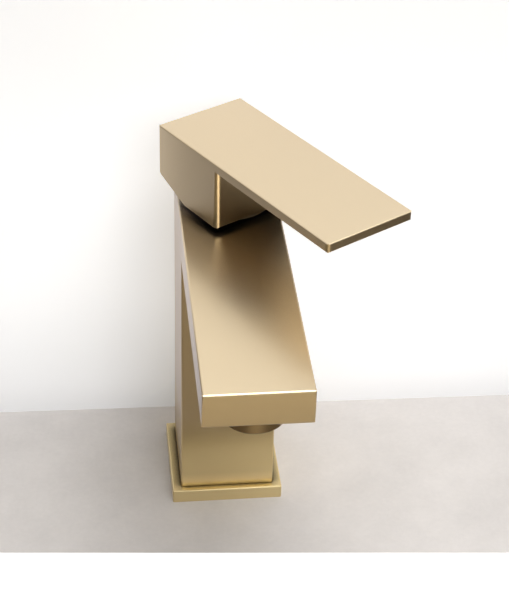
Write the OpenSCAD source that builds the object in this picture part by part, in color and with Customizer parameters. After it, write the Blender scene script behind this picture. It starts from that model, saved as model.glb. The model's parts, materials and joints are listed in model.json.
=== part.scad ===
// Single-lever bathroom basin mixer with a square column, a flat slab spout and a flat lever.
// The origin is the centre of the column on the deck. +Z is up and the spout points to -Y.

/* [Column and spout] */
// Width of the column and of the spout
column_w = 42; // [42:0.5:46]
// Depth of the column, front to back
column_d = 44; // [42:0.5:48]
// Height of the level top of the column above the deck
top_z = 148; // [144:0.2:152]
// Distance from the axis to the upper front edge of the spout
spout_reach = 130.3; // [110:0.1:150]
// Thickness of the spout at its front
spout_t = 16; // [15.5:0.1:20]
// Fall of the spout's top towards its front, in degrees
spout_fall = 2; // [1:0.1:3]
// Fall of the spout's underside towards its front, in degrees
under_fall = 1.2; // [0:0.1:2]
// How far the spout's front face leans back at its foot
front_lean = 1.2; // [0:0.1:2]
// Radius on the polished edges
edge_r = 0.8; // [0.4:0.1:1.2]

/* [Base] */
// Side of the square base plate
base_w = 50; // [48:1:60]
// Height of the base plate
base_h = 6.5; // [5:0.5:9]
// Radius of the hole in the deck
deck_hole_r = 17.5; // [17:0.5:19]
// Thickness of the deck that is clamped
deck_t = 30; // [5:1:40]

/* [Handle] */
// Gap between the column's top and the handle block
handle_gap = 2.2; // [1.6:0.1:3]
// Height of the top of the handle above the deck
handle_top = 180; // [176:0.5:186]
// Distance from the axis to the front of the handle block
block_front = 21; // [18:0.5:22]
// Distance from the axis to the back of the handle block
block_back = 20; // [18:0.5:22]
// Distance from the axis to the tip of the lever
lever_reach = 91.2; // [70:0.1:110]
// Thickness of the lever plate
lever_t = 3.9; // [3:0.1:6]
// Length of the sloped relief under the back of the block
relief_run = 18.5; // [18:0.5:19]
// Height of the sloped relief
relief_rise = 7.3; // [7.2:0.1:8]
// Radius on both ends of the sloped relief
relief_r = 3; // [1:0.5:4]
// Radius on the upright front edges of the block
block_edge_r = 2.2; // [1:0.1:3]
// Radius on the upright corners of the lever's tip
tip_corner_r = 1.6; // [0.8:0.1:3]
// Turn of the handle from the spout's centre line, in degrees
handle_turn = 31; // [-45:1:45]

/* [Cartridge] */
// Radius of the cartridge chamber in the body
chamber_r = 17.8; // [17.6:0.1:18]
// Height of the chamber's floor above the deck
chamber_floor = 108; // [100:0.5:108]
// Height of the pin that the lever tilts on
pivot_z = 136; // [135.5:0.5:136.5]
// Width of the square lever spindle
spindle_w = 8; // [7:0.5:8]
// Half of the handle's whole turn from side to side, in degrees
turn_half = 45; // [30:1:50]

/* [Aerator] */
// Outer radius of the aerator's collar
aerator_r = 12.7; // [12.2:0.1:14]
// How far the collar stands below the spout
aerator_drop = 7; // [4:0.5:8]
// Distance from the axis of the column to the aerator's
aerator_y = 113.4; // [100:0.1:116]

/* [Hidden] */

$fn = 64;
edge_fn = 32;       // steps round a small polished edge
past = 1;           // how far a cutter runs past the face that it cuts
gap = 0.05;         // running clearance on a radius or a face
run_on = 30;        // how far an outline runs on past an end that isn't its own

gold = [0.82, 0.70, 0.50];
brass = [0.80, 0.66, 0.36];
steel = [0.72, 0.73, 0.75];
ceramic = [0.92, 0.90, 0.86];
plastic = [0.88, 0.88, 0.86];
grey_plastic = [0.35, 0.36, 0.38];
rubber = [0.10, 0.10, 0.11];

// Column and spout
half_w = column_w / 2;
half_d = column_d / 2;
foot_z = 5;                                  // the column's foot sits in the base plate's recess
front_top_z = top_z - (spout_reach - half_d) * tan(spout_fall);
front_foot_z = front_top_z - spout_t;
front_foot_y = spout_reach - front_lean;
function under_z(y) = front_foot_z + (front_foot_y + y) * tan(under_fall);

// Supply: hose inlets, the drilled ways above them, and the stud
inlet_x = 7.5;
inlet_y = -6;
inlet_r = 4.5;                               // tapping size of the hose thread
inlet_l = 12;
way_r = 3.1;
cavity_top = 80;
cavity_w = 34;
cavity_d = 36;
cavity_r = 5;                                // cast corners of the cavity
mouth_r = 16.5;                              // round mouth of the cavity
mouth_top = 14;
stud_y = 12.5;
stud_r = 4;
boss_r = 6.5;
boss_foot = 9;
boss_top = 28;
stud_hole_top = boss_top - 3;
stud_top = stud_hole_top - 1;

// Cartridge
housing_r = 16.2;
housing_bore_r = 14.8;
shoulder_r = 17.4;
shoulder_foot = 138.4;
shoulder_top = 142;
neck_r = 13.4;
neck_bore_r = 11.6;
neck_top = 146;
thread_r = 19;
thread_foot = 141.5;
cover_t = 0.75;
disc_foot = 111.6;                           // underside of the fixed disc
disc_r = 13.9;
disc_t = 4;
disc_seat = 1.5;                             // depth that the fixed disc is let into the cartridge's foot
moving_r = 10.8;
moving_t = 3.6;
moving_foot = disc_foot + disc_t + gap;
carrier_foot = moving_foot + moving_t;
carrier_r = 11.8;
carrier_t = 3.9;
groove_r = 15.5;                             // bottom of the housing's o-ring groove
rotor_foot = carrier_foot + carrier_t + 0.1;
rotor_shoulder = 138.9;
rotor_top = 146.2;
rotor_neck_r = 11.5;
rotor_tip_r = 9.6;
pin_r = 2;
pin_l = 21;
ball_r = 3;
arm = 12;                                    // from the pin down to the spindle's ball
ball_z = pivot_z - arm;
disc_start = -2.1;                           // the moving disc's centre when shut, along the lever
guide_w = 12;
guide_h = 3;
guide_l = 16;
drive_w = 4.6;                               // lugs that drive the moving disc
drive_l = 1.9;
slot_half = spindle_w / 2 + 0.1;
stop_lug = 20;                               // angle that the rotor's stop lug takes
seal_r = 4.6;
seal_w = 1.8;
seal_t = 2;
peg_x = 11;
peg_y = 6;
peg_r = 2;
peg_l = 3;
outlet_w = 10;                               // window at the back, from the base into the chamber

// Handle
block_foot = top_z + handle_gap;
socket_top = 168;
screw_z = 163;
screw_r = 2.5;
plug_r = 3.6;
block_wall = 3.5;
block_roof = 6;
hub_r = 8.5;
lever_edge_r = 0.6;

// Aerator, in a frame that lies on the spout's underside
socket_r = 11.5;
socket_h = 9.4;
throat_r = 9;                                // drilled from the socket up into the waterway
throat_h = 10.6;
aerator_bore = 10.3;
lip = 0.7;                                   // inner lip that holds the grid
rim_h = 1.4;
grid_t = 1.6;
thread_h = 8;

// Clamp under the deck
gasket_r = 22;
gasket_bore = 18.5;
gasket_t = 2;
pad_t = 3;
plate_t = 3;
clamp_r = 24;
clamp_mouth = 28;                            // opening of the horseshoe, for both hoses
nut_af = 13;
nut_h = 6.5;
stud_spare = 16;                             // stud left showing below the nut
stud_foot = -(deck_t + pad_t + plate_t + nut_h + stud_spare);

// A 2D outline with its outer corners rounded
module rounded(r) {
    offset(r = r, $fn = edge_fn) offset(delta = -r) children();
}

module rounded_rect(w, d, r) {
    rounded(r) square([w, d], center = true);
}

// Extrudes an outline drawn in (y, z) across the whole width w
module across(w) {
    rotate([90, 0, 90]) linear_extrude(w, center = true) children();
}

// Extrudes an outline drawn in (x, z) towards -y
module forwards(length) {
    rotate([90, 0, 0]) linear_extrude(length) children();
}

module ring(outer, inner, h) {
    difference() {
        cylinder(r = outer, h = h);
        translate([0, 0, -past]) cylinder(r = inner, h = h + 2 * past);
    }
}

module at_inlets(z) {
    for (side = [-1, 1]) translate([side * inlet_x, inlet_y, z]) children();
}

module at_pegs(z) {
    for (side = [-1, 1]) translate([side * peg_x, peg_y, z]) children();
}

// Turns the handle and what moves with it to the resting side
module turned() {
    rotate([0, 0, handle_turn]) children();
}

// ---------- Body ----------

// An outline w wide and up to the height top, rounded above and running on below
module upright(w, top, r) {
    rounded(r) translate([-w / 2, -run_on]) square([w, top + run_on]);
}

// A square bar with rounded upright edges and rounded upper edges all round
module rounded_bar(w, d, foot, top, r) {
    intersection() {
        translate([0, 0, foot]) linear_extrude(top - foot) rounded_rect(w, d, r);
        translate([0, d / 2 + past, 0]) forwards(d + 2 * past) upright(w, top, r);
        across(w + 2 * past) upright(d, top, r);
    }
}

// The slab's outline seen from its side; its root lies inside the column
module spout_side() {
    root_y = -half_d + 2;
    inside_y = -half_d + 9;
    inside_drop = 3;
    rounded(edge_r) polygon([
        [-spout_reach, front_top_z],
        [-half_d, top_z],
        [root_y, top_z],
        [inside_y, top_z - inside_drop],
        [inside_y, under_z(inside_y)],
        [-front_foot_y, front_foot_z]
    ]);
}

// The slab, its long edges rounded above and below and its upright front edges in plan
module spout_form() {
    length = spout_reach + run_on;
    depth = 2 * run_on;
    intersection() {
        across(column_w) spout_side();
        translate([0, -half_d, top_z]) rotate([spout_fall, 0, 0]) translate([0, run_on, 0]) forwards(length)
            upright(column_w, 0, edge_r);
        translate([0, -half_d, under_z(-half_d)]) rotate([under_fall, 0, 0]) translate([0, run_on, 0])
            forwards(length) mirror([0, 1]) upright(column_w, 0, edge_r);
        translate([0, 0, front_foot_z - run_on]) linear_extrude(spout_t + depth) rounded(edge_r)
            translate([-half_w, -spout_reach]) square([column_w, spout_reach]);
    }
}

module hose_cavity() {
    difference() {
        union() {
            translate([0, 0, foot_z - past]) cylinder(r = mouth_r, h = mouth_top - foot_z + 2 * past);
            translate([0, 0, mouth_top]) linear_extrude(cavity_top - mouth_top)
                rounded_rect(cavity_w, cavity_d, cavity_r);
        }
        // boss for the stud, joined to the back wall
        translate([0, stud_y, boss_foot]) cylinder(r = boss_r, h = boss_top - boss_foot);
        translate([-boss_r, stud_y, boss_foot]) cube([2 * boss_r, half_d, boss_top - boss_foot]);
    }
}

// The flat way from the chamber's front to above the aerator, rising a little on its way
module waterway() {
    start_y = 12;
    start_z = 135.5;
    rise = 0.7;
    way_h = 5.6;
    way_w = 20;
    length = aerator_y - start_y;
    translate([0, -start_y, start_z]) rotate([-atan(rise / length), 0, 0]) forwards(length)
        hull() for (side = [-1, 1]) translate([side * (way_w - way_h) / 2, 0]) circle(d = way_h);
}

module on_underside() {
    translate([0, -aerator_y, under_z(-aerator_y)]) rotate([under_fall, 0, 0]) children();
}

module body() {
    color(gold) difference() {
        union() {
            rounded_bar(column_w, column_d, foot_z, top_z, edge_r);
            spout_form();
        }
        hose_cavity();
        translate([0, stud_y, boss_foot - past]) cylinder(r = stud_r, h = stud_hole_top - boss_foot + past);
        at_inlets(cavity_top - past) cylinder(r = inlet_r, h = inlet_l + past);
        at_inlets(cavity_top) cylinder(r = way_r, h = chamber_floor - cavity_top + past);
        translate([0, 0, chamber_floor]) cylinder(r = chamber_r, h = top_z);
        at_pegs(chamber_floor - peg_l) cylinder(r = peg_r + gap, h = peg_l + past);
        translate([0, 0, thread_foot]) cylinder(r = thread_r, h = top_z);
        waterway();
        on_underside() translate([0, 0, -past]) cylinder(r = socket_r, h = socket_h + past);
        on_underside() cylinder(r = throat_r, h = throat_h);
    }
}

// ---------- Base ----------

module base_plate() {
    color(gold) difference() {
        rounded_bar(base_w, base_w, 0, base_h, edge_r);
        translate([0, 0, foot_z - gap]) linear_extrude(base_h)
            rounded_rect(column_w + 2 * gap, column_d + 2 * gap, edge_r);
        translate([0, 0, -past]) cylinder(r = deck_hole_r - 0.3, h = base_h + 2 * past);
        translate([0, 0, -past]) ring(gasket_r, gasket_bore, gasket_t + past);
    }
}

module base_gasket() {
    color(rubber) ring(gasket_r - gap, gasket_bore + gap, gasket_t - gap);
}

// ---------- Cartridge ----------

// Foot of the cartridge: holds the fixed disc, seals on the chamber's floor, located by two pegs
module cartridge_base() {
    foot = chamber_floor + 0.1;
    flange_t = 2.4;
    color(grey_plastic) difference() {
        union() {
            translate([0, 0, foot]) cylinder(r = shoulder_r, h = flange_t);
            translate([0, 0, foot]) cylinder(r = housing_r, h = disc_foot + disc_seat - foot);
            at_pegs(foot - peg_l + 0.2) cylinder(r = peg_r, h = peg_l);
        }
        translate([0, 0, disc_foot]) cylinder(r = disc_r + gap, h = disc_seat + past);
        at_inlets(foot - past) cylinder(r = way_r, h = disc_foot);
        at_inlets(foot - past) ring(seal_r + seal_w / 2 + gap, seal_r - seal_w / 2 - gap, past + seal_t);
        // outlet from under the disc's rear port to the back, into the space round the housing
        translate([-outlet_w / 2, 3, foot + 1.4]) cube([outlet_w, shoulder_r, disc_foot]);
    }
}

module port_seals() {
    color(rubber) at_inlets(chamber_floor) ring(seal_r + seal_w / 2, seal_r - seal_w / 2, seal_t);
}

// A slot with round ends between two points
module slot(from, to, r) {
    hull() for (end = [from, to]) translate(end) circle(r = r);
}

// Two inlet ports in front and one outlet port behind
module port_outlines() {
    port_r = 2.2;
    port_run = 2.5;
    for (side = [-1, 1])
        slot([side * inlet_x, inlet_y], [side * (inlet_x - port_run), inlet_y - port_run], port_r);
    slot([-3, 6], [3, 6], 2.6);
}

module fixed_disc() {
    color(ceramic) translate([0, 0, disc_foot]) difference() {
        cylinder(r = disc_r, h = disc_t);
        translate([0, 0, -past]) linear_extrude(disc_t + 2 * past) port_outlines();
    }
}

// Lapped disc with a blind mixing pocket below and a notch at each side for the carrier
module moving_disc() {
    pocket = 2;
    notch_w = drive_w + 0.4;
    notch_l = drive_l + 0.2;
    color(ceramic) turned() translate([0, -disc_start, moving_foot]) difference() {
        cylinder(r = moving_r, h = moving_t);
        translate([0, 0, -past]) linear_extrude(pocket + past) hull() {
            for (side = [-1, 1]) translate([side * 4.5, -1]) circle(r = 2.5);
            translate([0, 5]) circle(r = 3);
        }
        for (side = [-1, 1]) translate([side * moving_r, 0, moving_t / 2 + past])
            cube([2 * notch_l, notch_w, moving_t], center = true);
    }
}

// The shoe that drives the moving disc: lugs below, a guide and the ball's socket above
module disc_carrier() {
    lug_h = 1.5;
    lug_x = moving_r - drive_l / 2;
    color(plastic) turned() translate([0, -disc_start, carrier_foot]) difference() {
        union() {
            cylinder(r = carrier_r, h = carrier_t);
            translate([-guide_w / 2, -guide_l / 2, 0]) cube([guide_w, guide_l, carrier_t + guide_h]);
            for (side = [-1, 1]) translate([side * lug_x, 0, past / 2 - lug_h / 2])
                cube([drive_l, drive_w, lug_h + past], center = true);
        }
        translate([0, disc_start, 1.2]) cylinder(r = ball_r + 0.15, h = carrier_t + guide_h);
    }
}

// The turret: guides the carrier in its foot, holds the pin, and ends in a slotted neck
module rotor() {
    slot_back = 8.2;
    slot_front = spindle_w / 2 + 0.6;
    lug_h = 4;
    color(plastic) turned() difference() {
        union() {
            translate([0, 0, rotor_foot]) {
                cylinder(r = housing_bore_r - 0.08, h = rotor_shoulder - rotor_foot);
                cylinder(r = rotor_neck_r, h = shoulder_top - rotor_foot);
                cylinder(r = rotor_tip_r, h = rotor_top - rotor_foot);
            }
            // stop lug behind, between the two ends of the limit ring
            translate([0, 0, shoulder_top - past]) rotate([0, 0, 90 - stop_lug / 2])
                rotate_extrude(angle = stop_lug) translate([rotor_tip_r - past, 0])
                    square([rotor_neck_r - rotor_tip_r + past, lug_h]);
        }
        // channel that guides the carrier
        translate([-guide_w / 2 - 2 * gap, -housing_r, rotor_foot - past])
            cube([guide_w + 4 * gap, 2 * housing_r, guide_h + past + 0.4]);
        // slot that the spindle tilts in, wider to the back above the pin and to the front below it
        translate([-slot_half, -slot_front, pivot_z])
            cube([2 * slot_half, slot_front + slot_back, rotor_top]);
        translate([-slot_half, -slot_back, rotor_foot])
            cube([2 * slot_half, slot_front + slot_back, pivot_z - rotor_foot]);
        translate([0, 0, pivot_z]) rotate([0, 90, 0])
            cylinder(r = pin_r + 0.01, h = pin_l + 0.2, center = true);
    }
}

module pivot_pin() {
    color(steel) turned() translate([0, 0, pivot_z]) rotate([0, 90, 0])
        cylinder(r = pin_r, h = pin_l, center = true);
}

// Square stem above the pin, round arm and ball below it
module spindle() {
    stem_foot = pivot_z - 4.5;
    arm_r = 2.3;
    color(brass) turned() difference() {
        union() {
            translate([-spindle_w / 2, -spindle_w / 2, stem_foot])
                cube([spindle_w, spindle_w, socket_top - 0.5 - stem_foot]);
            translate([0, 0, ball_z]) cylinder(r = arm_r, h = stem_foot + past - ball_z);
            translate([0, 0, ball_z]) sphere(r = ball_r);
        }
        translate([0, 0, pivot_z]) rotate([0, 90, 0]) cylinder(r = pin_r + gap, h = pin_l, center = true);
    }
}

// Shell with a sealing shoulder and a neck, open at its foot
module cartridge_housing() {
    foot = disc_foot + disc_seat + gap;
    groove_foot = shoulder_foot + 0.8;
    groove_h = 2.4;
    color(grey_plastic) difference() {
        union() {
            translate([0, 0, foot]) cylinder(r = housing_r, h = shoulder_top - foot);
            translate([0, 0, shoulder_foot]) cylinder(r = shoulder_r, h = shoulder_top - shoulder_foot);
            translate([0, 0, foot]) cylinder(r = neck_r, h = neck_top - foot);
        }
        translate([0, 0, foot - past]) cylinder(r = housing_bore_r, h = rotor_shoulder + 0.1 - foot + past);
        translate([0, 0, foot]) cylinder(r = neck_bore_r, h = neck_top);
        translate([0, 0, groove_foot]) ring(thread_r, groove_r, groove_h);
        // window behind, above the base's outlet
        translate([-outlet_w / 2, peg_x, foot - past]) cube([outlet_w, housing_r, 2 * past]);
    }
}

// Ring in the neck whose two ends stop the rotor's lug
module limit_ring() {
    open = 2 * turn_half + stop_lug + 1;
    ring_h = 3.6;
    color([0.75, 0.15, 0.12]) translate([0, 0, shoulder_top + gap]) rotate([0, 0, 90 + open / 2])
        rotate_extrude(angle = 360 - open) translate([rotor_tip_r + 2 * gap, 0])
            square([neck_bore_r - rotor_tip_r - 3 * gap, ring_h]);
}

module housing_o_ring() {
    cord_r = 1.1;
    color(rubber) translate([0, 0, (shoulder_foot + shoulder_top) / 2 + 0.2])
        rotate_extrude() translate([groove_r + gap + cord_r, 0]) circle(r = cord_r);
}

// Ring nut with six slots for its key
module retaining_nut() {
    foot = shoulder_top + gap;
    top = top_z - cover_t - gap;
    key_w = 4;
    key_depth = 2.4;
    color(brass) difference() {
        translate([0, 0, foot]) ring(thread_r - gap, neck_r + 0.3, top - foot);
        for (turn = [0:60:300]) rotate([0, 0, turn]) translate([thread_r - 3, -key_w / 2, top - key_depth])
            cube([thread_r, key_w, key_depth + past]);
    }
}

module cover_ring() {
    color(gold) translate([0, 0, top_z - cover_t]) ring(thread_r - gap, rotor_neck_r + 0.4, cover_t);
}

// ---------- Handle, drawn with the lever towards -Y ----------

// The handle's plan from y = -front to its back, with its front corners rounded by r
module handle_plan(front, r) {
    rounded(r) translate([-half_w, -front]) square([column_w, front + block_back + run_on]);
}

// Block and lever plate as one side outline, with the relief under the back
module handle_side() {
    plate_foot = handle_top - lever_t;
    rounded(lever_edge_r) polygon([
        [-lever_reach, handle_top],
        [block_back, handle_top],
        [block_back, block_foot + relief_rise],
        [block_back - relief_run, block_foot],
        [-block_front, block_foot],
        [-block_front, plate_foot],
        [-lever_reach, plate_foot]
    ]);
}

// The relief's outline, softly rounded at both its ends and running on above and in front
module relief_side() {
    rounded(relief_r) polygon([
        [-lever_reach - run_on, handle_top + run_on],
        [block_back, handle_top + run_on],
        [block_back, block_foot + relief_rise],
        [block_back - relief_run, block_foot],
        [-lever_reach - run_on, block_foot]
    ]);
}

module handle_form() {
    length = lever_reach + block_back;
    plate_middle = handle_top - lever_t / 2;
    intersection() {
        across(column_w) intersection() {
            handle_side();
            relief_side();
        }
        union() {
            // the plate, rounded on all four long edges
            translate([0, block_back, plate_middle]) forwards(length)
                rounded_rect(column_w, lever_t, lever_edge_r);
            // the block, its upright front edges more softly rounded
            linear_extrude(plate_middle) handle_plan(block_front, block_edge_r);
        }
        linear_extrude(handle_top) intersection() {
            handle_plan(lever_reach, tip_corner_r);
            rounded(edge_r) translate([-half_w, -lever_reach - run_on])
                square([column_w, length + run_on]);
        }
    }
}

// Moulded hollow round the hub
module handle_hollow() {
    depth = block_front + block_back - 2 * block_wall;
    height = handle_top - block_roof - block_foot + past;
    corner_r = 3;
    difference() {
        translate([0, 0, block_foot - past]) linear_extrude(height) rounded(corner_r)
            translate([-half_w + block_wall, -block_front + block_wall])
                square([column_w - 2 * block_wall, depth]);
        cylinder(r = hub_r, h = handle_top);
    }
}

module handle() {
    socket = spindle_w + 2 * gap;
    color(gold) turned() difference() {
        handle_form();
        handle_hollow();
        translate([-socket / 2, -socket / 2, block_foot - past])
            cube([socket, socket, socket_top - block_foot + past]);
        translate([0, 0, screw_z]) rotate([-90, 0, 0]) cylinder(r = screw_r, h = hub_r + past);
        translate([0, block_back - block_wall - past, screw_z]) rotate([-90, 0, 0])
            cylinder(r = plug_r, h = block_wall + 2 * past);
    }
}

// Grub screw that holds the handle on the spindle, with a hexagon socket
module set_screw() {
    length = 6;
    socket_w = 2.5;
    socket_depth = 3;
    color(steel) turned() translate([0, spindle_w / 2, screw_z]) rotate([-90, 0, 0]) difference() {
        cylinder(r = screw_r - 0.01, h = length);
        translate([0, 0, length - socket_depth])
            cylinder(d = socket_w / cos(30), h = socket_depth + past, $fn = 6);
    }
}

// Press-in plug that hides the grub screw
module screw_plug() {
    length = block_wall - 0.1;
    chamfer = 0.4;
    color(gold) turned() translate([0, block_back - block_wall, screw_z]) rotate([-90, 0, 0]) {
        cylinder(r = plug_r - gap, h = length - chamfer);
        translate([0, 0, length - chamfer]) cylinder(r1 = plug_r - gap, r2 = plug_r - chamfer, h = chamfer);
    }
}

// ---------- Aerator, drawn on the spout's underside ----------

// Collar with a chamfered foot and an inner lip, screwed into the spout
module aerator_housing() {
    chamfer = 0.5;
    color(gold) on_underside() difference() {
        union() {
            translate([0, 0, -aerator_drop]) cylinder(r1 = aerator_r - chamfer, r2 = aerator_r, h = chamfer);
            translate([0, 0, -aerator_drop + chamfer])
                cylinder(r = aerator_r, h = aerator_drop - chamfer - gap);
            translate([0, 0, -past]) cylinder(r = socket_r - gap, h = thread_h + past);
        }
        translate([0, 0, -aerator_drop - past]) cylinder(r = aerator_bore - lip, h = aerator_drop + thread_h);
        translate([0, 0, -aerator_drop + rim_h]) cylinder(r = aerator_bore, h = aerator_drop + thread_h);
    }
}

// Outlet grid with square cells
module aerator_grid() {
    pitch = 3;
    cell = 2.3;
    reach = 3;
    rim = 2.5;
    color(grey_plastic) on_underside() translate([0, 0, -aerator_drop + rim_h + gap]) difference() {
        cylinder(r = aerator_bore - gap, h = grid_t);
        for (i = [-reach:reach], j = [-reach:reach])
            if (norm([i, j]) * pitch < aerator_bore - rim)
                translate([i * pitch, j * pitch, grid_t / 2]) cube([cell, cell, 2 * grid_t], center = true);
    }
}

module jets(count, radius) {
    for (i = [1:count]) rotate([0, 0, i * 360 / count]) translate([radius, 0, -past]) children();
}

// Jet former: two rings of holes in a cup
module aerator_insert() {
    foot = -aerator_drop + rim_h + grid_t + 2 * gap;
    floor_t = 3;
    wall = 1.6;
    jet_r = 0.9;
    color(plastic) on_underside() translate([0, 0, foot]) difference() {
        cylinder(r = aerator_bore - gap, h = thread_h - foot);
        translate([0, 0, floor_t]) cylinder(r = aerator_bore - wall, h = thread_h - foot);
        jets(12, 7) cylinder(r = jet_r, h = floor_t + 2 * past);
        jets(6, 3.5) cylinder(r = jet_r, h = floor_t + 2 * past);
    }
}

module aerator_washer() {
    inner_r = throat_r + 0.1;
    color(rubber) on_underside() translate([0, 0, thread_h + gap])
        ring(socket_r - 2 * gap, inner_r, socket_h - thread_h - 2 * gap);
}

// ---------- Fixing under the deck ----------

// Stud with a screwdriver slot in its chamfered lower end
module mounting_stud() {
    chamfer = 0.8;
    slot_w = 1.2;
    slot_depth = 2.2;
    r = stud_r - 0.01;
    color(steel) translate([0, stud_y, stud_foot]) difference() {
        union() {
            cylinder(r1 = r - chamfer, r2 = r, h = chamfer);
            translate([0, 0, chamfer]) cylinder(r = r, h = stud_top - stud_foot - chamfer);
        }
        translate([-stud_r, -slot_w / 2, -past]) cube([2 * stud_r, slot_w, slot_depth + past]);
    }
}

// Horseshoe that clears both hoses and takes the stud in its bridge
module horseshoe(clear) {
    mouth_end = 4;
    corner_r = 4;
    difference() {
        circle(r = clamp_r);
        rounded(corner_r) translate([-clamp_mouth / 2, -clamp_r - run_on])
            square([clamp_mouth, clamp_r + run_on + mouth_end]);
        translate([0, stud_y]) circle(r = stud_r + clear);
    }
}

module clamp_pad() {
    color(rubber) translate([0, 0, -deck_t - pad_t]) linear_extrude(pad_t - gap) horseshoe(0.3);
}

module clamp_plate() {
    color(steel) translate([0, 0, -deck_t - pad_t - plate_t]) linear_extrude(plate_t - gap) horseshoe(0.2);
}

// Hexagon nut with its lower corners turned off
module clamp_nut() {
    top = -deck_t - pad_t - plate_t - gap;
    flat = nut_af / 2;
    corner = flat / cos(30);
    color(brass) translate([0, stud_y, top - nut_h]) difference() {
        intersection() {
            cylinder(r = corner, h = nut_h, $fn = 6);
            cylinder(r1 = flat, r2 = flat + nut_h, h = nut_h);
        }
        translate([0, 0, -past]) cylinder(r = stud_r, h = nut_h + 2 * past);
    }
}

body();
base_plate();
base_gasket();
cartridge_base();
port_seals();
fixed_disc();
moving_disc();
disc_carrier();
rotor();
pivot_pin();
spindle();
cartridge_housing();
limit_ring();
housing_o_ring();
retaining_nut();
cover_ring();
handle();
set_screw();
screw_plug();
aerator_housing();
aerator_grid();
aerator_insert();
aerator_washer();
mounting_stud();
clamp_pad();
clamp_plate();
clamp_nut();
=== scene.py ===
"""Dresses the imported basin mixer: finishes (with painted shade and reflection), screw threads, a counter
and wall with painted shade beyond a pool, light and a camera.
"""

import json
import math

import bmesh
import bpy
from mathutils import Matrix, Vector

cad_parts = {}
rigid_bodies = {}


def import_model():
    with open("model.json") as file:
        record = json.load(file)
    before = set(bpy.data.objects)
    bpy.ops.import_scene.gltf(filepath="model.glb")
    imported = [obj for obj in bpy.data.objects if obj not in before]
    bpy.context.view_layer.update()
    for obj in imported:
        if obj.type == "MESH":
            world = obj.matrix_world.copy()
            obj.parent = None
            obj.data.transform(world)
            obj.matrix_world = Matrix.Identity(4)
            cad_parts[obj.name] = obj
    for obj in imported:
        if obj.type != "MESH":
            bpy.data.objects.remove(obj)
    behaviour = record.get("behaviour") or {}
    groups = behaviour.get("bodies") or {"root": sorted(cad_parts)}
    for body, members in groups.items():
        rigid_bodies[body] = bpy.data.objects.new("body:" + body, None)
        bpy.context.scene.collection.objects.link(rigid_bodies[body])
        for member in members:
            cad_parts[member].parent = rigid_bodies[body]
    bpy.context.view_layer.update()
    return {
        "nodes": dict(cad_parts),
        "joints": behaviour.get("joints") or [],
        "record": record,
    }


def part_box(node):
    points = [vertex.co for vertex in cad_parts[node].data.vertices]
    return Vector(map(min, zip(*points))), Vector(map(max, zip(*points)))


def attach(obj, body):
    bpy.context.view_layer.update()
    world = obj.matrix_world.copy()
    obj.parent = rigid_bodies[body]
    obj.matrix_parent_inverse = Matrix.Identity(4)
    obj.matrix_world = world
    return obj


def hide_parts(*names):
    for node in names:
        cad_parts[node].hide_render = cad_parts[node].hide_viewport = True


for leftover in list(bpy.data.objects):
    bpy.data.objects.remove(leftover)
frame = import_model()
nodes = frame["nodes"]

MM = 0.001
UP = (0, 0, 1)
ALONG_X = (1, 0, 0)
ALONG_Y = (0, 1, 0)
WHITE = (1, 1, 1)
BLACK = (0, 0, 0)
LIFT_AXIS = next(Vector(j["axis"]) for j in frame["joints"] if j["name"] == "lift")
LEVER_DIRECTION = Vector(UP).cross(-LIFT_AXIS)


def link_object(name, data):
    obj = bpy.data.objects.new(name, data)
    bpy.context.scene.collection.objects.link(obj)
    return obj


# ---------- Camera ----------

CAMERA_AZIMUTH = -6.957      # degrees, 0 looks along +Y
CAMERA_ELEVATION = 34.918
CAMERA_ROLL = 1.668
CAMERA_DISTANCE = 0.7488
CAMERA_TARGET = Vector((0.01295, 0, 0.09399))
CAMERA_SENSOR = 36           # millimetres
CAMERA_LENS = 101.74
CAMERA_CLIP = (0.01, 50)


def make_camera():
    az = math.radians(CAMERA_AZIMUTH)
    el = math.radians(CAMERA_ELEVATION)
    back = Vector((math.sin(az) * math.cos(el), -math.cos(az) * math.cos(el), math.sin(el)))
    data = bpy.data.cameras.new("camera")
    data.sensor_width = CAMERA_SENSOR
    data.lens = CAMERA_LENS
    data.clip_start, data.clip_end = CAMERA_CLIP
    camera = link_object("camera", data)
    roll = Matrix.Rotation(math.radians(CAMERA_ROLL), 3, "Z")
    facing = (-back).to_track_quat("-Z", "Y").to_matrix() @ roll
    camera.matrix_world = Matrix.Translation(CAMERA_TARGET + back * CAMERA_DISTANCE) @ facing.to_4x4()
    bpy.context.scene.camera = camera


# ---------- Shader nodes ----------

NOISE_SPAN = (0.3, 0.7)      # where most of a noise texture's values lie


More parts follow.
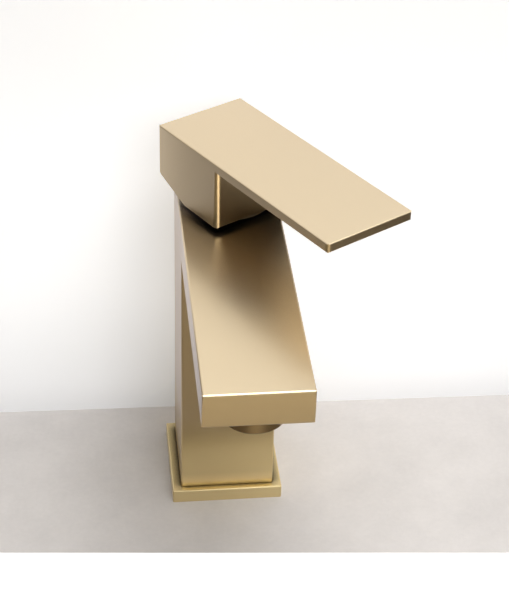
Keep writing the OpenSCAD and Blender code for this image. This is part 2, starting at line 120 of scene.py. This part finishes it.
class Shader:
    """A material under construction: adds nodes and joins their sockets."""

    def __init__(self, name):
        self.material = bpy.data.materials.new(name)
        self.material.use_nodes = True
        self.tree = self.material.node_tree
        self.surface = self.tree.nodes["Principled BSDF"]

    def add(self, kind, inputs=None, **settings):
        node = self.tree.nodes.new(kind)
        for key, value in settings.items():
            setattr(node, key, value)
        for key, value in (inputs or {}).items():
            self.put(node.inputs[key], value)
        return node

    def put(self, socket, value):
        """Joins a socket or a node's first output to the socket, or sets its value."""
        if isinstance(value, bpy.types.NodeSocket):
            self.tree.links.new(value, socket)
        elif isinstance(value, bpy.types.Node):
            self.tree.links.new(value.outputs[0], socket)
        else:
            socket.default_value = value

    def set(self, **sockets):
        for key, value in sockets.items():
            self.put(self.surface.inputs[key.replace("_", " ")], value)

    def math(self, operation, *values):
        return self.add("ShaderNodeMath", dict(enumerate(values)), operation=operation)

    def vector(self, operation, *values):
        return self.add("ShaderNodeVectorMath", dict(enumerate(values)), operation=operation)

    def scaled(self, vector, factor):
        return self.add("ShaderNodeVectorMath", {0: vector, "Scale": factor}, operation="SCALE")

    def dot(self, first, second):
        return self.vector("DOT_PRODUCT", first, second).outputs["Value"]

    def complement(self, amount):
        return self.math("SUBTRACT", 1.0, amount)

    def noise(self, coordinates, scale, detail, rough=0.5):
        inputs = {"Vector": coordinates, "Scale": scale, "Detail": detail, "Roughness": rough}
        return self.add("ShaderNodeTexNoise", inputs)

    def ranged(self, value, low, high, to_low=0.0, to_high=1.0):
        inputs = {"Value": value, "From Min": low, "From Max": high, "To Min": to_low, "To Max": to_high}
        return self.add("ShaderNodeMapRange", inputs)

    def fade(self, value, start, end):
        """0 at start and 1 at end, with a soft beginning and end."""
        node = self.ranged(value, start, end)
        node.interpolation_type = "SMOOTHSTEP"
        return node

    def blend(self, factor, first, second):
        """The colour second where factor is 1, and first where it is 0."""
        node = self.add("ShaderNodeMix", {0: factor, 6: first, 7: second}, data_type="RGBA")
        return node.outputs[2]

    def pick(self, factor, first, second):
        """The vector second where factor is 1, and first where it is 0."""
        node = self.add("ShaderNodeMix", {0: factor, 4: first, 5: second}, data_type="VECTOR")
        return node.outputs[1]

    def place(self):
        return self.add("ShaderNodeTexCoord").outputs["Object"]

    def parts(self, place):
        """The X, Y and Z of a place."""
        return self.add("ShaderNodeSeparateXYZ", {0: place}).outputs


def rgba(colour, level=1.0):
    return (*(c * level for c in colour), 1.0)


# ---------- Metals ----------

GOLD = (0.80, 0.665, 0.455)
GOLD_ROUGH = 0.31
PLATE_GOLD = (0.80, 0.655, 0.36)
PLATE_ROUGH = 0.40
AERATOR_GOLD = (0.37, 0.285, 0.18)
AERATOR_ROUGH = 0.17
BRASS = (0.78, 0.60, 0.30)
STEEL = (0.62, 0.62, 0.63)
GRAZING = (0.75, 0.77, 0.92)         # the metals' tint at a grazing angle

FINE_STREAKS = (5200, 2)             # noise cells to the metre across the grain, and detail
COARSE_STREAKS = (2100, 3)
STREAK_RUN = 26                      # noise cells to the metre along the grain
STREAK_TONES = (0.997, 1.0018)
STREAK_SPAN = (0.25, 0.75)
STREAK_GLOSS = (-0.008, 0.010)       # how far the streaks change the roughness
CLOUD_SCALE = 60
CLOUD_GLOSS = 0.01
BUMP = 0.005
BUMP_HEIGHT = 0.04 * MM
ANISOTROPY = 0.5

EDGE_RADIUS = 0.7 * MM
EDGE_TURN = (0.995, 0.93)            # cosines between a bevelled normal and the face's own
EDGE_ROUGH = 0.34                    # rubbed edges scatter their highlight more
EDGE_TINT = (1.0, 0.985, 0.93)

PAINTED_SHADE_LEVEL = 0.06                 # what is left of the colour under the painted shade in a narrow gap
GAP_REACH = 0.010                    # painted shade in the gap under the handle's block
GAP_LEAST = 0.6
LEVER_REACH = 0.04                   # the painted shade under its lever
LEVER_LEAST = 0.12
SPOUT_TOP_Z = (0.13, 0.14)           # both begin between these heights
PLATE_REACH = 0.006                  # painted shade at the joint between plate and column
PLATE_LEAST = 0.5
PLATE_TOP_Z = (0.0055, 0.0064)       # it begins between these heights

COLUMN_REFLECTION_Z = (0.050, 0.030)         # heights between which a painted reflection turns the column's gold warmer
COLUMN_REFLECTION_TINT = (0.93, 0.895, 0.69)
FOOT_REFLECTION_Z = (0.0145, 0.0085)         # and between which a painted reflection of the base plate makes its foot brighter
FOOT_REFLECTION_TINT = (1.19, 1.125, 0.87)

SPOUT_MARGIN = 0.5 * MM              # the spout starts this far before the column's front
ALIGNED = 0.75                       # least cosine of a normal that counts as along an axis


def brushed(name, colour, rough, grain_of, painted_shade=None, tint=None):
    """Brushed metal. grain_of(shader, place, normal) gives the brushing direction at each point,
    the painted shade function (shader, place) how far narrow gaps are painted darker, and
    tint(shader, place) a painted reflection that multiplies the colour."""
    s = Shader(name)
    coords = s.add("ShaderNodeTexCoord")
    place = coords.outputs["Object"]
    grain = grain_of(s, place, coords.outputs["Normal"])
    streaks = streak_pattern(s, place, grain)
    clouds = s.noise(place, CLOUD_SCALE, 3)
    edge = edge_wear(s)
    tones = [rgba(colour, level) for level in STREAK_TONES]
    worn = rgba([c * level for c, level in zip(colour, EDGE_TINT)])
    finish = s.blend(edge, s.blend(s.ranged(streaks, *NOISE_SPAN), *tones), worn)
    # painted reflection, multiplied into the colour
    if tint:
        finish = s.vector("MULTIPLY", finish, tint(s, place))
    # painted shade: near other faces the colour darkens towards a dark copy of itself
    if painted_shade:
        finish = s.blend(painted_shade(s, place), finish, rgba(colour, PAINTED_SHADE_LEVEL))
    s.set(Base_Color=finish, Metallic=1.0, Anisotropic=ANISOTROPY, Specular_Tint=rgba(GRAZING))
    varied = s.math("ADD", s.ranged(streaks, *STREAK_SPAN, *(rough + change for change in STREAK_GLOSS)),
                    s.ranged(clouds, *NOISE_SPAN, -CLOUD_GLOSS, CLOUD_GLOSS))
    s.set(Roughness=s.math("ADD", varied, s.math("MULTIPLY", edge, EDGE_ROUGH)))
    # scratches widen a highlight across themselves, and the shader widens it along its tangent
    world_grain = s.add("ShaderNodeVectorTransform", {"Vector": grain}, vector_type="VECTOR",
                        convert_from="OBJECT", convert_to="WORLD")
    surface_normal = s.add("ShaderNodeNewGeometry").outputs["Normal"]
    s.set(Tangent=s.vector("CROSS_PRODUCT", surface_normal, world_grain))
    s.set(Normal=s.add("ShaderNodeBump", {"Height": streaks, "Strength": BUMP, "Distance": BUMP_HEIGHT}))
    return s.material


def streak_pattern(s, place, grain):
    """Fine and coarse noise, drawn out along the grain."""
    along = s.dot(place, grain)
    across = s.vector("SUBTRACT", place, s.scaled(grain, along))
    drawn_out = s.scaled(grain, s.math("MULTIPLY", along, STREAK_RUN))
    halves = []
    for density, detail in (FINE_STREAKS, COARSE_STREAKS):
        noise = s.noise(s.vector("ADD", s.scaled(across, density), drawn_out), 1.0, detail)
        halves.append(s.math("MULTIPLY", noise, 0.5))
    return s.math("ADD", *halves)


def edge_wear(s):
    """1 beside sharp edges, 0 on open faces: how far a bevelled normal turns from the face's own."""
    bevel = s.add("ShaderNodeBevel", {"Radius": EDGE_RADIUS}, samples=4)
    turn = s.dot(bevel, s.add("ShaderNodeNewGeometry").outputs["Normal"])
    return s.ranged(turn, *EDGE_TURN)


def closeness(s, reach, least):
    """0 on open faces, and up to 1 where other faces stand within reach."""
    open_sky = s.add("ShaderNodeAmbientOcclusion", {"Distance": reach}, samples=8)
    return s.ranged(open_sky.outputs["AO"], 1.0, least)


def body_painted_shade(s, place):
    """Painted shade in the gap under the handle's block and under its lever, not at the column's foot."""
    near = s.math("MAXIMUM", closeness(s, GAP_REACH, GAP_LEAST), closeness(s, LEVER_REACH, LEVER_LEAST))
    return s.math("MULTIPLY", near, s.fade(s.parts(place)["Z"], *SPOUT_TOP_Z))


def plate_painted_shade(s, place):
    """Painted shade on the plate's top only, round the column."""
    near = closeness(s, PLATE_REACH, PLATE_LEAST)
    return s.math("MULTIPLY", near, s.fade(s.parts(place)["Z"], *PLATE_TOP_Z))


def column_painted_reflection(s, place):
    """Painted reflection: the column's foot is a warmer gold, and brightest just above the base plate, which
    it mirrors.
    """
    height = s.parts(place)["Z"]
    warm = s.blend(s.fade(height, *COLUMN_REFLECTION_Z), rgba(WHITE), rgba(COLUMN_REFLECTION_TINT))
    return s.blend(s.fade(height, *FOOT_REFLECTION_Z), warm, rgba(FOOT_REFLECTION_TINT))


def is_along(s, normal, axis):
    """1 where the normal points along or against the axis."""
    return s.math("GREATER_THAN", s.math("ABSOLUTE", s.dot(normal, axis)), ALIGNED)


def body_grain(s, place, normal):
    """Up the column, along the spout, and across the spout's front."""
    column_front = -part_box("body")[1].y - SPOUT_MARGIN
    on_spout = s.math("LESS_THAN", s.parts(place)["Y"], column_front)
    facing = s.math("MULTIPLY", is_along(s, normal, ALONG_Y), on_spout)
    lengthwise = s.math("MAXIMUM", on_spout, is_along(s, normal, UP))
    return s.pick(facing, s.pick(lengthwise, UP, ALONG_Y), ALONG_X)


def handle_grain(s, place, normal):
    """Along the lever, except on its two ends, where it runs across."""
    return s.pick(is_along(s, normal, LEVER_DIRECTION), tuple(LEVER_DIRECTION), tuple(LIFT_AXIS))


def plate_grain(s, place, normal):
    """Across the plate's front and back, and along Y on the rest."""
    return s.pick(is_along(s, normal, ALONG_Y), ALONG_Y, ALONG_X)


def ring_grain(centre):
    """Round a turned part's axis, which stands upright through centre."""
    def grain(s, place, normal):
        arm = s.vector("SUBTRACT", place, tuple(centre))
        return s.vector("NORMALIZE", s.vector("CROSS_PRODUCT", UP, arm))
    return grain


# ---------- Plastics, rubber and ceramic ----------

MOULDED_CLOUDS = 220
MOULDED_GLOSS = 0.06
MOULDED_HEIGHT = 0.03 * MM


def moulded(name, colour, rough, grain_scale=9000, bump=0.12, specular=0.5, tone=0.05):
    """Moulded plastic or rubber: a faint texture, slight clouds of colour and uneven gloss."""
    s = Shader(name)
    place = s.place()
    grain = s.noise(place, grain_scale, 2, 0.6)
    clouds = s.ranged(s.noise(place, MOULDED_CLOUDS, 3), *NOISE_SPAN)
    s.set(Base_Color=s.blend(clouds, rgba(colour, 1 - tone), rgba(colour, 1 + tone)))
    s.set(Roughness=s.ranged(grain, *NOISE_SPAN, rough - MOULDED_GLOSS, rough + MOULDED_GLOSS))
    s.set(Specular_IOR_Level=specular)
    s.set(Normal=s.add("ShaderNodeBump", {"Height": grain, "Strength": bump, "Distance": MOULDED_HEIGHT}))
    return s.material


# ---------- A finish for every node ----------

def metal_finishes():
    round_axis = ring_grain(Vector())
    round_aerator = ring_grain(sum(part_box("aerator_housing"), Vector()) / 2)
    round_stud = ring_grain(sum(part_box("mounting_stud"), Vector()) / 2)
    return {
        "body": brushed("gold_body", GOLD, GOLD_ROUGH, body_grain, body_painted_shade, column_painted_reflection),
        "base_plate": brushed("gold_plate", PLATE_GOLD, PLATE_ROUGH, plate_grain, plate_painted_shade),
        "handle": brushed("gold_handle", GOLD, GOLD_ROUGH, handle_grain),
        "screw_plug": brushed("gold_plug", GOLD, GOLD_ROUGH, handle_grain),
        "cover_ring": brushed("gold_ring", GOLD, GOLD_ROUGH, round_axis),
        "aerator_housing": brushed("gold_aerator", AERATOR_GOLD, AERATOR_ROUGH, round_aerator),
        "retaining_nut": brushed("brass_nut", BRASS, 0.34, round_axis),
        "spindle": brushed("brass_spindle", BRASS, 0.34, round_axis),
        "clamp_nut": brushed("brass_clamp_nut", BRASS, 0.36, round_stud),
        "set_screw": brushed("steel_screw", STEEL, 0.30, handle_grain),
        "pivot_pin": brushed("steel_pin", STEEL, 0.28, handle_grain),
        "mounting_stud": brushed("steel_stud", STEEL, 0.34, round_stud),
        "clamp_plate": brushed("steel_plate", STEEL, 0.38, plate_grain),
    }


def plain_finishes():
    ceramic = moulded("lapped_ceramic", (0.90, 0.88, 0.84), 0.14, grain_scale=14000, bump=0.03,
                      specular=0.6, tone=0.02)
    grey = moulded("grey_acetal", (0.20, 0.21, 0.23), 0.42)
    white = moulded("white_acetal", (0.78, 0.78, 0.75), 0.40)
    red = moulded("red_acetal", (0.55, 0.06, 0.05), 0.40)
    rubber = moulded("black_rubber", (0.022, 0.022, 0.024), 0.62, grain_scale=6000, bump=0.25,
                     specular=0.3, tone=0.15)
    users = (
        (ceramic, ("fixed_disc", "moving_disc")),
        (grey, ("cartridge_base", "cartridge_housing", "aerator_grid")),
        (white, ("disc_carrier", "rotor", "aerator_insert")),
        (red, ("limit_ring",)),
        (rubber, ("base_gasket", "port_seals", "housing_o_ring", "aerator_washer", "clamp_pad")),
    )
    return {name: finish for finish, names in users for name in names}


def finish_nodes():
    finishes = metal_finishes() | plain_finishes()
    for name, node in nodes.items():
        for material_slot in node.material_slots:
            material_slot.material = finishes[name]
    stud_thread(finishes["mounting_stud"])
    inlet_threads(finishes["clamp_nut"])


# ---------- Clean shading of the rounded edges ----------

NODE_SHARP = math.radians(32)
NODE_WELD = MM / 1000


def edge_angle_group():
    """A geometry group that shades smooth and marks edges sharper than NODE_SHARP as sharp."""
    group = bpy.data.node_groups.new("smooth_by_angle", "GeometryNodeTree")
    group.interface.new_socket("Geometry", in_out="INPUT", socket_type="NodeSocketGeometry")
    group.interface.new_socket("Geometry", in_out="OUTPUT", socket_type="NodeSocketGeometry")
    enter = group.nodes.new("NodeGroupInput")
    leave = group.nodes.new("NodeGroupOutput")
    angle = group.nodes.new("GeometryNodeInputMeshEdgeAngle")
    blunt = group.nodes.new("FunctionNodeCompare")
    blunt.data_type = "FLOAT"
    blunt.operation = "LESS_EQUAL"
    blunt.inputs[1].default_value = NODE_SHARP
    faces = group.nodes.new("GeometryNodeSetShadeSmooth")
    faces.domain = "FACE"
    edges = group.nodes.new("GeometryNodeSetShadeSmooth")
    edges.domain = "EDGE"
    link = group.links.new
    link(enter.outputs[0], faces.inputs[0])
    link(faces.outputs[0], edges.inputs[0])
    link(angle.outputs[0], blunt.inputs[0])
    link(blunt.outputs[0], edges.inputs["Shade Smooth"])
    link(edges.outputs[0], leave.inputs[0])
    return group


def smooth_nodes():
    group = edge_angle_group()
    for node in nodes.values():
        weld = node.modifiers.new("weld", "WELD")
        weld.merge_threshold = NODE_WELD
        smooth = node.modifiers.new("smooth_by_angle", "NODES")
        smooth.node_group = group
        weighted = node.modifiers.new("weighted", "WEIGHTED_NORMAL")
        weighted.keep_sharp = True
        weighted.weight = 100


# ---------- Screw threads ----------

THREAD_SIDES = 40
THREAD_ROWS = 8              # rows of points for each turn of a thread
THREAD_CREST = 0.12          # half the width of a crest, and of a root, in pitches
THREAD_SHARP = math.radians(38)
STUD_PITCH = 1.25 * MM
STUD_DEPTH = 0.68 * MM
STUD_CHAMFER = 0.8 * MM
SLOT_DEPTH = 2.2 * MM        # screwdriver slot in the stud's foot
SLOT_HALF = 0.6 * MM
SLOT_WELD = 0.01 * MM        # points closer than this are merged after the slot is cut
INLET_PITCH = 1.0 * MM
INLET_DEPTH = 0.30 * MM
INLET_BURIED = 0.02 * MM     # the thread's roots lie this far inside the body's metal
INLET_WALL = 0.25 * MM
INLET_END = 1.5 * MM         # plain length left at the hole's blind end


def thread_depth(z, turn, pitch):
    """0 on a thread's crest and 1 in its root, at a height and an angle round the thread's axis."""
    phase = z / pitch - turn / (2 * math.pi)
    from_crest = abs((phase % 1.0) - 0.5) * 2
    return min(1.0, max(0.0, (1 - from_crest - THREAD_CREST) / (1 - 2 * THREAD_CREST)))


def ring_of_points(axis, z, radius_at):
    turns = [2 * math.pi * i / THREAD_SIDES for i in range(THREAD_SIDES)]
    return [(axis[0] + radius_at(z, t) * math.cos(t), axis[1] + radius_at(z, t) * math.sin(t), z)
            for t in turns]


def skin(rings):
    """The faces between neighbours in a row of rings of points."""
    faces = []
    for k in range(rings - 1):
        for i in range(THREAD_SIDES):
            j = (i + 1) % THREAD_SIDES
            low, high = k * THREAD_SIDES, (k + 1) * THREAD_SIDES
            faces.append((low + i, low + j, high + j, high + i))
    return faces


def even_heights(low, high, step):
    count = round((high - low) / step)
    return [low + (high - low) * k / count for k in range(count + 1)]


def add_piece(name, points, faces, material):
    """A new object whose faces all look outwards."""
    mesh = bpy.data.meshes.new(name)
    mesh.from_pydata(points, [], faces)
    outward = bmesh.new()
    outward.from_mesh(mesh)
    bmesh.ops.recalc_face_normals(outward, faces=outward.faces)
    outward.to_mesh(mesh)
    outward.free()
    mesh.materials.append(material)
    return link_object(name, mesh)


def settle(piece):
    """Shades a piece smooth apart from its sharp edges, and joins it to the tap's body."""
    mesh = piece.data
    mesh.shade_smooth()
    mesh.set_sharp_from_angle(angle=THREAD_SHARP)
    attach(piece, "tap_body")


def slot_cutter(axis, foot, reach):
    """A block where the screwdriver slot goes, longer and deeper than the slot."""
    xs = (axis[0] - reach, axis[0] + reach)
    ys = (axis[1] - SLOT_HALF, axis[1] + SLOT_HALF)
    zs = (foot - SLOT_DEPTH, foot + SLOT_DEPTH)
    corners = [(x, y, z) for x in xs for y in ys for z in zs]
    sides = [(0, 1, 3, 2), (4, 6, 7, 5), (0, 4, 5, 1), (2, 3, 7, 6), (0, 2, 6, 4), (1, 5, 7, 3)]
    mesh = bpy.data.meshes.new("cutter")
    mesh.from_pydata(corners, [], sides)
    return link_object("cutter", mesh)


def cut_away(piece, cutter):
    """Takes the cutter's volume out of a piece, and merges the points that this leaves too close."""
    cut = piece.modifiers.new("slot", "BOOLEAN")
    cut.operation = "DIFFERENCE"
    cut.solver = "EXACT"
    cut.object = cutter
    graph = bpy.context.evaluated_depsgraph_get()
    result = bpy.data.meshes.new_from_object(piece.evaluated_get(graph))
    piece.modifiers.clear()
    piece.data = result
    bpy.data.objects.remove(cutter)
    mended = bmesh.new()
    mended.from_mesh(result)
    bmesh.ops.remove_doubles(mended, verts=mended.verts, dist=SLOT_WELD)
    bmesh.ops.dissolve_degenerate(mended, edges=mended.edges, dist=SLOT_WELD)
    mended.to_mesh(result)
    mended.free()


def stud_thread(material):
    """The mounting stud as threaded rod, chamfered at both ends and slotted at its foot."""
    low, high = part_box("mounting_stud")
    axis = ((low.x + high.x) / 2, (low.y + high.y) / 2)
    radius = (high.x - low.x) / 2

    def radius_at(z, turn):
        end = min(z - low.z, high.z - z)
        return min(radius - STUD_DEPTH * thread_depth(z, turn, STUD_PITCH), radius - STUD_CHAMFER + end)

    heights = even_heights(low.z, high.z, STUD_PITCH / THREAD_ROWS)
    points = [point for z in heights for point in ring_of_points(axis, z, radius_at)]
    last = len(points) - THREAD_SIDES
    ends = [tuple(first + i for i in range(THREAD_SIDES)) for first in (0, last)]
    rod = add_piece("stud_thread", points, skin(len(heights)) + ends, material)
    cut_away(rod, slot_cutter(axis, low.z, 2 * radius))
    settle(rod)
    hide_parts("mounting_stud")


def inlet_thread(name, axis, radius, foot, top, material):
    """A tapped thread: a thin sleeve in the body's metal with its ridges inwards."""
    def radius_at(z, turn):
        ridge = 1 - thread_depth(z, turn, INLET_PITCH)
        lead = min(1.0, (z - foot) / INLET_PITCH, (top - z) / INLET_PITCH)
        return radius + INLET_BURIED - ridge * lead * INLET_DEPTH

    def outside(z, turn):
        return radius + INLET_WALL

    heights = even_heights(foot, top, INLET_PITCH / THREAD_ROWS)
    rings = [ring_of_points(axis, z, radius_at) for z in heights]
    rings += [ring_of_points(axis, z, outside) for z in (top, foot)]
    points = [point for ring in rings for point in ring]
    last = len(points) - THREAD_SIDES
    closing = [(last + i, last + (i + 1) % THREAD_SIDES, (i + 1) % THREAD_SIDES, i)
               for i in range(THREAD_SIDES)]
    settle(add_piece(name, points, skin(len(rings)) + closing, material))


def inlet_threads(material):
    """A thread in each of the body's hose inlets."""
    for mount in frame["record"]["mounts"]:
        if mount["kind"] != "threaded_hole":
            continue
        x, y, foot = mount["pos_m"]
        dims = mount["dims"]
        top = foot + dims["length_mm"] * MM - INLET_END
        inlet_thread(mount["name"] + "_thread", (x, y), dims["r_mm"] * MM, foot, top, material)


# ---------- Counter, wall and floor ----------

COUNTER = (0.80, 0.765, 0.74)
COUNTER_TONES = (0.92, 1.07)
STONE_CLOUDS = (28, 5, 0.62)         # scale, detail and roughness of the noise
STONE_SPECKS = (420, 3, 0.6)
STONE_ROUGH = 0.55
COUNTER_SHADE = (0.24, 0.19, 0.12)   # the floor just in front of the counter
ROOM_FLOOR = (0.71, 0.59, 0.375)     # and further out
# painted shade, in zones round the pool, for the metal to mirror
SIDE_PAINTED_SHADE = (0.47, 0.44, 0.42)
RIGHT_COUNTER_PAINTED_SHADE = (0.09, 0.08, 0.065)
LEFT_FAR_PAINTED_SHADE = (0.40, 0.31, 0.17)
RIGHT_FLOOR_PAINTED_SHADE = (0.03, 0.022, 0.012)
RIGHT_FAR_PAINTED_SHADE = (0.26, 0.21, 0.15)

STAGE_HALF = 3.0
LEDGE_Y = -0.0606                    # where the counter's front edge crosses the axis
LEDGE_SLOPE = -0.0797
LEDGE_RUN = 0.014                    # its white front slopes out this far
DROP = 0.017                         # the floor in front of it lies this much lower
POOL_X = (-0.102, 0.15)              # the pool, outside which the stage is painted in shade, reaches just past the camera's view
POOL_FADE = 0.07                     # and fades over this length, or over LEFT_FADE at its left
LEFT_FADE = 0.03
ASIDE = 0.024                        # the floor's pool ends this much further right
LEFT_FAR_X = (-0.04, -0.14)
RIGHT_END = -0.150
SHADE_END = -0.259                   # the floor's shaded band ends here
SHADE_FADE = 0.04

WALL = (0.90, 0.90, 0.91)
WALL_SHADE = (0.60, 0.57, 0.54)
WALL_ROUGH = 0.8
WALL_Y = 0.045                       # where the wall meets the counter, on the axis
WALL_TURN = math.radians(-1.1)
WALL_GLOW = 0.56
GLOW_HEIGHTS = (-0.10, 0.08)         # the glow rises between these heights
GLOW_END = (0.13, 0.23)              # and loses GLOW_LOSS of itself between these
GLOW_LOSS = 0.22
SHADE_X = (-0.070, -0.015)           # the tap's shade on the wall grows between these
SHADE_X_END = (0.015, 0.030)         # and ends between these
SHADE_TOP = (0.145, 0.105)
TALL_SHADE = 0.24
LOW_SHADE_Z = (0.090, 0.015)
LOW_SHADE = 0.05
FOOT_SHADE_Z = (0.02, 0.0)
FOOT_SHADE = 0.10


def one_sided(s):
    """Lets the camera see through the plane from behind, so that it hides nothing in the other views."""
    clear = s.add("ShaderNodeBsdfTransparent")
    behind = s.math("MULTIPLY", s.add("ShaderNodeNewGeometry").outputs["Backfacing"],
                    s.add("ShaderNodeLightPath").outputs["Is Camera Ray"])
    mix = s.add("ShaderNodeMixShader", {0: behind, 1: s.surface, 2: clear})
    s.put(s.tree.nodes["Material Output"].inputs["Surface"], mix)


def seen_rays(s):
    """1 wherever the surface is looked at: straight, in a mirror or through glass."""
    path = s.add("ShaderNodeLightPath")
    seen = s.math("MAXIMUM", path.outputs["Is Camera Ray"], path.outputs["Is Glossy Ray"])
    return s.math("MAXIMUM", seen, path.outputs["Is Transmission Ray"])


def left_of_pool(s, across):
    return s.fade(across, POOL_X[0], POOL_X[0] - LEFT_FADE)


def right_of_pool(s, across, aside=0.0):
    start = POOL_X[1] + aside
    return s.fade(across, start, start + POOL_FADE)


def out_of_pool(s, across):
    return s.math("MAXIMUM", left_of_pool(s, across), right_of_pool(s, across))


def counter_material():
    s = Shader("pale_stone")
    place = s.place()
    across = s.parts(place)["X"]
    clouds = s.math("MULTIPLY", s.noise(place, *STONE_CLOUDS), 0.75)
    specks = s.math("MULTIPLY", s.noise(place, *STONE_SPECKS), 0.25)
    mottled = s.ranged(s.math("ADD", clouds, specks), *NOISE_SPAN)
    stone = s.blend(mottled, *(rgba(COUNTER, level) for level in COUNTER_TONES))
    # painted shade on the counter beyond the pool's left and right
    stone = s.blend(left_of_pool(s, across), stone, rgba(SIDE_PAINTED_SHADE))
    stone = s.blend(right_of_pool(s, across), stone, rgba(RIGHT_COUNTER_PAINTED_SHADE))
    s.set(Base_Color=stone, Roughness=STONE_ROUGH)
    one_sided(s)
    return s.material


def front_floor_material():
    """The floor in front of the counter, in painted shade: dim near it, brighter far out, and dark at its
    right.
    """
    s = Shader("dim_floor")
    parts = s.parts(s.place())
    across, along = parts["X"], parts["Y"]
    beyond = s.fade(along, SHADE_END, SHADE_END - SHADE_FADE)
    outer = s.blend(s.fade(across, *LEFT_FAR_X), rgba(ROOM_FLOOR), rgba(LEFT_FAR_PAINTED_SHADE))
    middle = s.blend(beyond, rgba(COUNTER_SHADE), outer)
    far = s.fade(along, RIGHT_END, RIGHT_END - POOL_FADE)
    right = s.blend(far, rgba(RIGHT_FLOOR_PAINTED_SHADE), rgba(RIGHT_FAR_PAINTED_SHADE))
    s.set(Base_Color=s.blend(right_of_pool(s, across, ASIDE), middle, right), Roughness=STONE_ROUGH)
    one_sided(s)
    return s.material


def fascia_material():
    """The counter's front: glowing white in the pool wherever it is seen or mirrored, and in painted shade
    further out.
    """
    s = Shader("white_fascia")
    away = out_of_pool(s, s.parts(s.place())["X"])
    s.set(Base_Color=s.blend(away, rgba(WALL), rgba(SIDE_PAINTED_SHADE)), Roughness=WALL_ROUGH)
    s.set(Emission_Color=s.blend(away, rgba(WHITE), rgba(BLACK)), Emission_Strength=seen_rays(s))
    one_sided(s)
    return s.material


def tap_shade(s, across, height):
    """How much light is left on the wall: it darkens behind the tap and to its left, more so low down."""
    near = s.math("POWER", s.ranged(across, *SHADE_X), 2.0)
    behind = s.complement(s.fade(across, *SHADE_X_END))
    tall = s.math("MULTIPLY", s.math("MULTIPLY", near, behind), s.fade(height, *SHADE_TOP))
    low = s.math("MULTIPLY", behind, s.fade(height, *LOW_SHADE_Z))
    foot = s.fade(height, *FOOT_SHADE_Z)
    left = s.complement(s.math("MULTIPLY", tall, TALL_SHADE))
    left = s.math("MULTIPLY", left, s.complement(s.math("MULTIPLY", low, LOW_SHADE)))
    return s.math("MULTIPLY", left, s.complement(s.math("MULTIPLY", foot, FOOT_SHADE)))


def wall_material():
    s = Shader("white_wall")
    parts = s.parts(s.place())
    across, height = parts["X"], parts["Y"]
    away = out_of_pool(s, across)
    light = tap_shade(s, across, height)
    wall = s.blend(away, rgba(WALL), rgba(WALL_SHADE))
    s.set(Base_Color=s.blend(light, rgba(BLACK), wall), Roughness=WALL_ROUGH)
    above = s.complement(s.math("MULTIPLY", s.fade(height, *GLOW_END), GLOW_LOSS))
    glow = s.math("MULTIPLY", s.fade(height, *GLOW_HEIGHTS), WALL_GLOW)
    glow = s.math("MULTIPLY", s.math("MULTIPLY", glow, light), above)
    s.set(Emission_Color=s.blend(away, rgba(WHITE), rgba(BLACK)))
    s.set(Emission_Strength=s.math("MULTIPLY", seen_rays(s), glow))
    one_sided(s)
    return s.material


def sheet(name, corners, material, matrix=Matrix()):
    mesh = bpy.data.meshes.new(name)
    mesh.from_pydata(corners, [], [tuple(range(len(corners)))])
    mesh.materials.append(material)
    obj = link_object(name, mesh)
    obj.matrix_world = matrix


def make_stage():
    wide = STAGE_HALF
    left, right = LEDGE_Y - LEDGE_SLOPE * wide, LEDGE_Y + LEDGE_SLOPE * wide
    low_left, low_right = left - LEDGE_RUN, right - LEDGE_RUN
    sheet("counter", [(-wide, left, 0), (wide, right, 0), (wide, wide, 0), (-wide, wide, 0)],
          counter_material())
    sheet("fascia", [(-wide, low_left, -DROP), (wide, low_right, -DROP),
                     (wide, right, 0), (-wide, left, 0)], fascia_material())
    sheet("front_floor", [(-wide, -wide, -DROP), (wide, -wide, -DROP),
                          (wide, low_right, -DROP), (-wide, low_left, -DROP)], front_floor_material())
    turn = Matrix.Rotation(WALL_TURN, 4, "Z")
    upright = Matrix.Rotation(math.radians(90), 4, "X")
    sheet("wall", [(-wide, -wide, 0), (wide, -wide, 0), (wide, wide, 0), (-wide, wide, 0)], wall_material(),
          Matrix.Translation((0, WALL_Y, 0)) @ turn @ upright)


# ---------- Light ----------

LAMPS = (                            # name, place, target, size and power
    ("softbox", (0.23, -0.15, 1.1), (0, 0, 0.1), (0.9, 0.6), 9.5),
    ("fill", (0.2, -0.95, 0.8), (0, 0, 0.1), (0.6, 0.6), 5),
    ("underside", (0.2, -0.4, -0.7), (0, 0, -0.04), (0.6, 0.5), 5),   # for the fixing below the counter
)
WORLD_LOW = 0.03
WORLD_HIGH = 0.7
WORLD_POWER = 6                      # how quickly the world brightens towards the top


def area_lamp(name, place, target, size, power):
    data = bpy.data.lights.new(name, "AREA")
    data.shape = "RECTANGLE"
    data.size, data.size_y = size
    data.energy = power
    lamp = link_object(name, data)
    lamp.location = place
    lamp.rotation_mode = "QUATERNION"
    lamp.rotation_quaternion = (Vector(target) - Vector(place)).to_track_quat("-Z", "Y")


def make_world():
    """A dim room with a soft bright ceiling."""
    world = bpy.data.worlds.new("room")
    bpy.context.scene.world = world
    world.use_nodes = True
    tree = world.node_tree
    direction = tree.nodes.new("ShaderNodeTexCoord")
    parts = tree.nodes.new("ShaderNodeSeparateXYZ")
    steepness = tree.nodes.new("ShaderNodeMath")
    steepness.operation = "POWER"
    steepness.use_clamp = True
    steepness.inputs[1].default_value = WORLD_POWER
    level = tree.nodes.new("ShaderNodeMapRange")
    level.inputs["To Min"].default_value = WORLD_LOW
    level.inputs["To Max"].default_value = WORLD_HIGH
    tree.links.new(direction.outputs["Generated"], parts.inputs[0])
    tree.links.new(parts.outputs["Z"], steepness.inputs[0])
    tree.links.new(steepness.outputs[0], level.inputs["Value"])
    tree.links.new(level.outputs[0], tree.nodes["Background"].inputs["Strength"])


make_camera()
finish_nodes()
smooth_nodes()
make_stage()
for lamp_settings in LAMPS:
    area_lamp(*lamp_settings)
make_world()
bpy.context.scene.view_settings.view_transform = "Standard"
